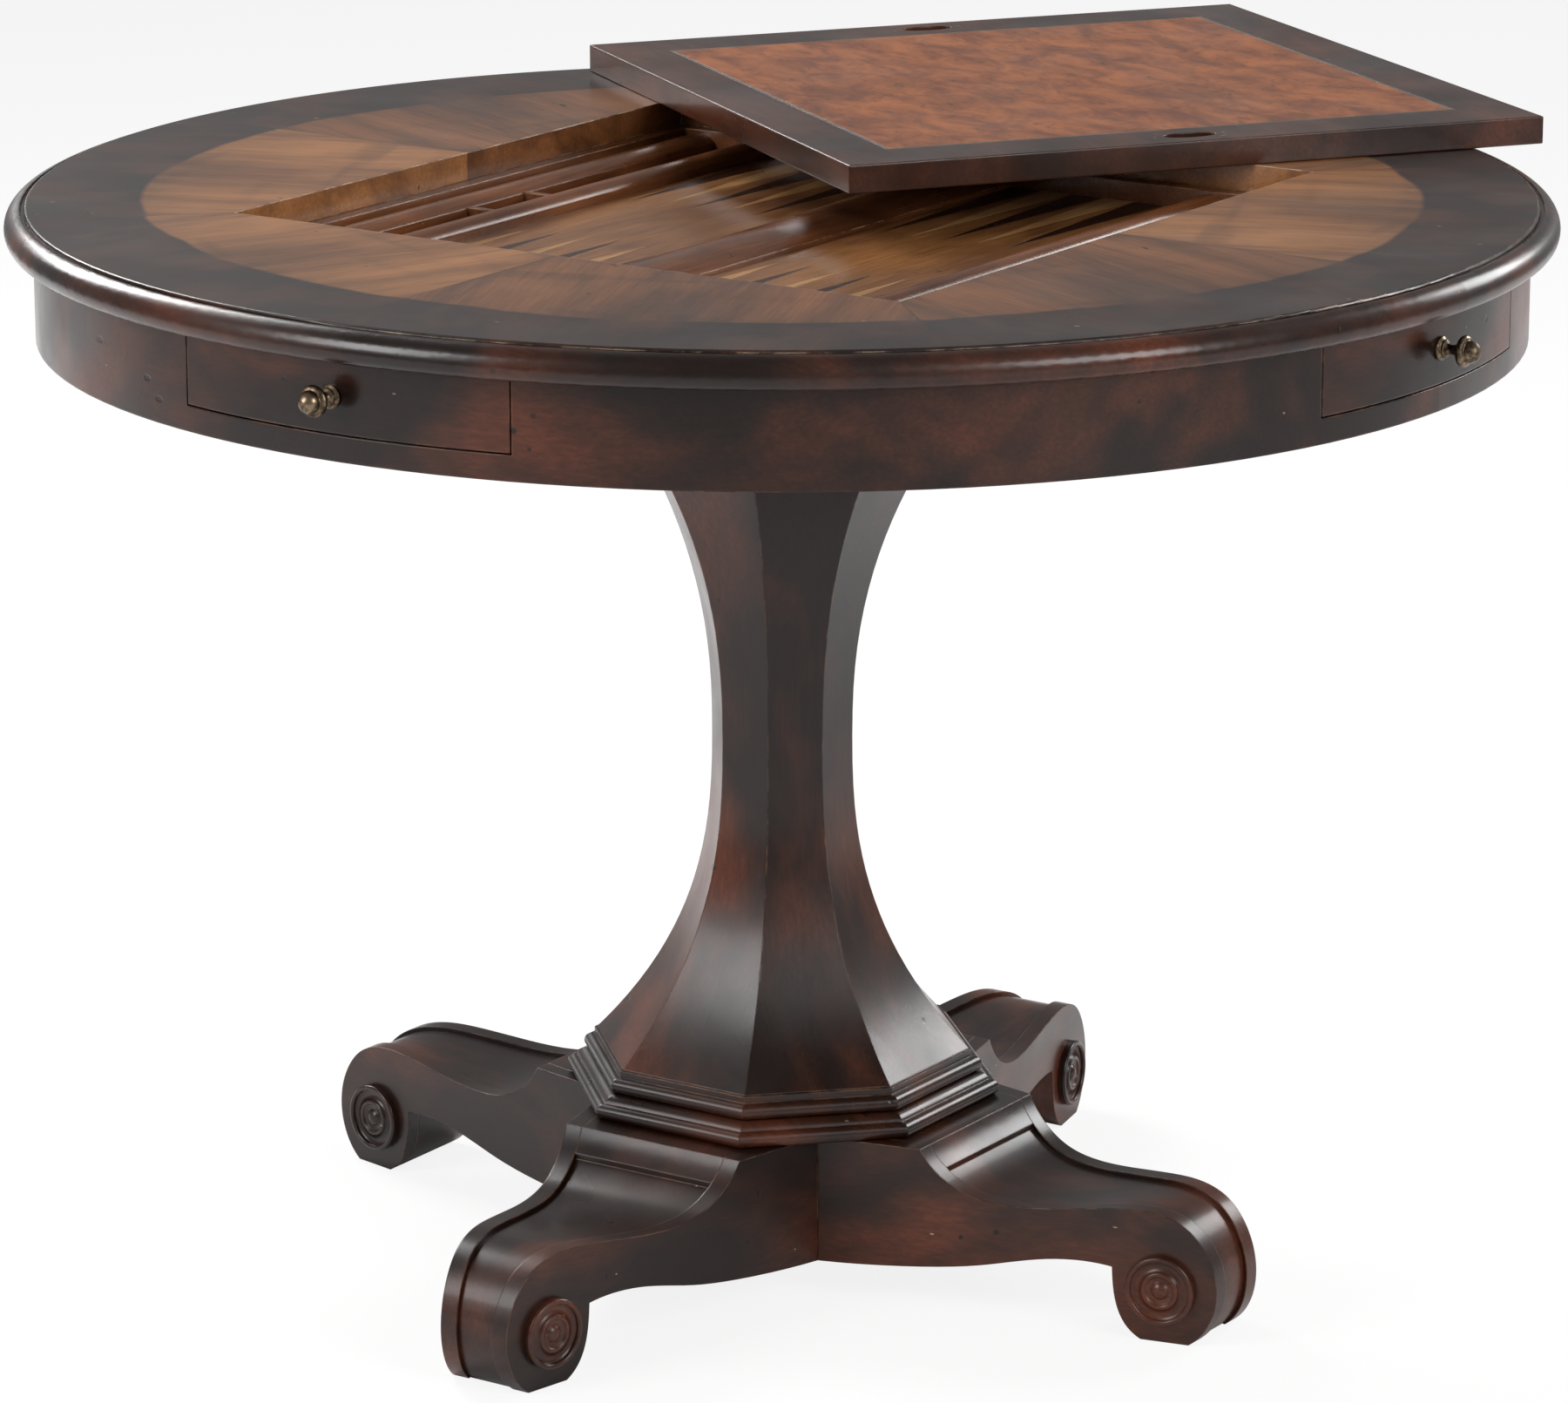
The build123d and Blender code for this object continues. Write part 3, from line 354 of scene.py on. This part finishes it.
tree.put(dimmed.inputs["Scale"], pore_shade)
finish_wood(tree, shader, where, dimmed.outputs[0], grain["Pores"], wear=1.0, distress=1.0,
            bump=0.22, edge_color=(0.55, 0.42, 0.30, 1), roughness=0.32)
print("top veneer:", SECTORS, "leaves inside", round(FIELD_RADIUS, 3), "m")

# %% [markdown]
# ## Burl field, stringing and metals
# The panel's field is a mottled burl: clouds of orange and red-brown with dark eyes. A thin
# grey line frames it. The knobs are antique brass, dark in the hollows and bright where
# fingers polish the rims.

# %% Burl
burl, tree, shader = new_material("burl veneer")
where = tree.node("ShaderNodeTexCoord").outputs["Object"]
clouds = tree.noise(tree.mapped(where, (1.0, 1.7, 1.0), turn=0.6), 19.0, 7.0, 0.66, 0.5)
eyes = tree.noise(tree.mapped(where, (1.0, 1.6, 1.0), turn=0.6), 75.0, 5.0, 0.7, 0.5)
color = tree.mix(tree.step(clouds, 0.3, 0.72), (0.12, 0.031, 0.0095, 1),
                 (0.32, 0.098, 0.026, 1))
color = tree.mix(tree.step(eyes, 0.55, 0.72, 0.0, 0.65), color, (0.03, 0.0085, 0.0045, 1))
finish_wood(tree, shader, where, color, eyes, wear=0.0, distress=0.5, bump=0.15,
            edge_color=(0.2, 0.1, 0.05, 1), roughness=0.36)


# %% Metals and stringing
def metal(name, dark, bright, roughness, wear):
    """Aged metal: dark patina, broken up by noise, rubbed bright on its edges."""
    material, tree, shader = new_material(name)
    where = tree.node("ShaderNodeTexCoord").outputs["Object"]
    stain = tree.noise(where, 160.0, 5.0, 0.65)
    edges = tree.group(edge_group, Vector=where, Radius=0.0009, Wear=wear)
    color = tree.mix(tree.step(stain, 0.35, 0.7), dark, bright)
    tree.put(shader.inputs["Base Color"], tree.mix(edges["Mask"], color, bright))
    tree.put(shader.inputs["Roughness"], tree.step(stain, 0.3, 0.7, roughness + 0.15, roughness))
    relief = tree.node("ShaderNodeBump")
    relief.inputs["Strength"].default_value = 0.15
    relief.inputs["Distance"].default_value = PATINA_DEPTH
    tree.put(relief.inputs["Height"], stain)
    tree.put(relief.inputs["Normal"], edges["Normal"])
    tree.put(shader.inputs["Normal"], relief.outputs[0])
    shader.inputs["Metallic"].default_value = 1.0
    return material


antique_brass = metal("antique brass", (0.035, 0.024, 0.016, 1), (0.26, 0.19, 0.125, 1),
                      0.3, 1.0)
pewter = metal("antique pewter", (0.05, 0.036, 0.026, 1), (0.16, 0.12, 0.09, 1), 0.35, 1.0)
zinc = metal("zinc steel", (0.42, 0.42, 0.42, 1), (0.62, 0.62, 0.60, 1), 0.32, 0.4)
stringing = wood("grey stringing", (0.045, 0.034, 0.026, 1), (0.16, 0.13, 0.105, 1),
                 turn=PANEL_TURN, amount=1.2, wear=0.0, distress=0.2)

# %% [markdown]
# ## Hand out the finishes
# The record names a material slot for every node. Boards whose grain runs another way get
# the turned or upright copy of the same wood.

# %% Assign
FINISHES = {"dark_wood": dark_wood, "top_veneer": top_veneer, "well_wood": well_wood,
            "board_veneer": board_veneer, "points_dark": point_dark,
            "points_light": point_light, "burl_veneer": burl, "stringing": stringing,
            "plain_wood": plain_wood, "antique_brass": antique_brass,
            "antique_pewter": pewter, "zinc_steel": zinc}
GRAIN_BY_NODE = {"column_staves": dark_wood_upright, "panel_frame": panel_wood,
                 "finger_rings": panel_wood,
                 "leg_front": dark_wood_across, "leg_back": dark_wood_across,
                 "leg_front_cheeks": dark_wood_across, "leg_back_cheeks": dark_wood_across,
                 "drawer_left_front": dark_wood_across, "drawer_right_front": dark_wood_across}
slot_of = {entry["node"]: entry["material_slot"] for entry in frame["record"]["subparts"]}
for name, node in frame["nodes"].items():
    node.data.materials.clear()
    node.data.materials.append(GRAIN_BY_NODE.get(name, FINISHES[slot_of[name]]))
print("finished", len(frame["nodes"]), "nodes")

# %% [markdown]
# ## Studio
# A pale floor keeps the table's shadow. Four large soft lamps stand behind and in front,
# one on each side; the world is an even, dim white, so that the dark wood keeps its depth.

# %% Floor and world
FLOOR_SIDE, FLOOR_DROP, FLOOR_GLOW = 40, 0.0005, 0.86
bpy.ops.mesh.primitive_plane_add(size=FLOOR_SIDE, location=(0, 0, -FLOOR_DROP))
floor = bpy.context.object
floor.name = "studio_floor"
floor_material, tree, shader = new_material("studio floor")
material_output = floor_material.node_tree.nodes["Material Output"]
shader.inputs["Base Color"].default_value = (0.86, 0.86, 0.86, 1)
shader.inputs["Roughness"].default_value = 0.9
glow = tree.node("ShaderNodeEmission")
to_camera = tree.node("ShaderNodeMixShader")
rays = tree.node("ShaderNodeLightPath")
seen = tree.math("MAXIMUM", rays.outputs["Is Camera Ray"], rays.outputs["Is Transmission Ray"])
tree.put(to_camera.inputs[0], tree.math("MULTIPLY", seen, FLOOR_GLOW))
tree.put(to_camera.inputs[1], shader.outputs[0])
tree.put(to_camera.inputs[2], glow.outputs[0])
tree.put(material_output.inputs["Surface"], to_camera.outputs[0])
floor.data.materials.append(floor_material)

world = bpy.data.worlds.new("studio world")
world.use_nodes = True
bpy.context.scene.world = world
background = world.node_tree.nodes["Background"]
WORLD_LIGHT = 0.3
background.inputs["Strength"].default_value = WORLD_LIGHT
background.inputs["Color"].default_value = (1, 1, 1, 1)


# %% Lamps
def lamp(name, place, aim, size, power):
    """A square soft lamp at a place, turned to face its aim."""
    data = bpy.data.lights.new(name, "AREA")
    data.size, data.energy = size, power
    light = bpy.data.objects.new(name, data)
    bpy.context.scene.collection.objects.link(light)
    facing = Vector(aim) - Vector(place)
    light.location = place
    light.rotation_euler = facing.to_track_quat("-Z", "Y").to_euler()
    print("lamp", name, power, "W")


CAMERA_AZIMUTH = math.radians(33.6)


def around(degrees, distance, height):
    """A place round the table, in degrees to the right of the camera's line of sight."""
    turn = CAMERA_AZIMUTH + math.radians(degrees)
    return (math.sin(turn) * distance, -math.cos(turn) * distance, height)


lamp("back_left", around(-140, 3.2, 2.6), (0, 0, 0.6), 1.5, 130)
lamp("back_right", around(125, 3.4, 2.0), (0, 0, 0.6), 1.2, 60)
lamp("front_left", around(-60, 3.6, 2.2), (0, 0, 0.5), 1.6, 95)
lamp("front_right", around(45, 3.6, 2.2), (0, 0, 0.5), 1.6, 85)

# %% [markdown]
# ## Camera
# A long lens, above the top and tilted down. The distance, the height and the tilt set how
# flat the round top looks.

# %% Camera
CAMERA_DISTANCE, CAMERA_HEIGHT, CAMERA_TILT = 4.59, 1.6385, 15.40
LENS, SENSOR_WIDTH = 155.25, 36.0
SHIFT_X, SHIFT_Y = 0.0012, 0.0209
camera_data = bpy.data.cameras.new("camera")
camera_data.lens, camera_data.sensor_width = LENS, SENSOR_WIDTH
camera_data.shift_x, camera_data.shift_y = SHIFT_X, SHIFT_Y
camera = bpy.data.objects.new("camera", camera_data)
camera.location = around(0, CAMERA_DISTANCE, CAMERA_HEIGHT)
camera.rotation_euler = (math.radians(90 - CAMERA_TILT), 0, CAMERA_AZIMUTH)
bpy.context.scene.collection.objects.link(camera)
bpy.context.scene.camera = camera
bpy.context.scene.view_settings.view_transform = "Standard"
print("camera", [round(value, 3) for value in camera.location])
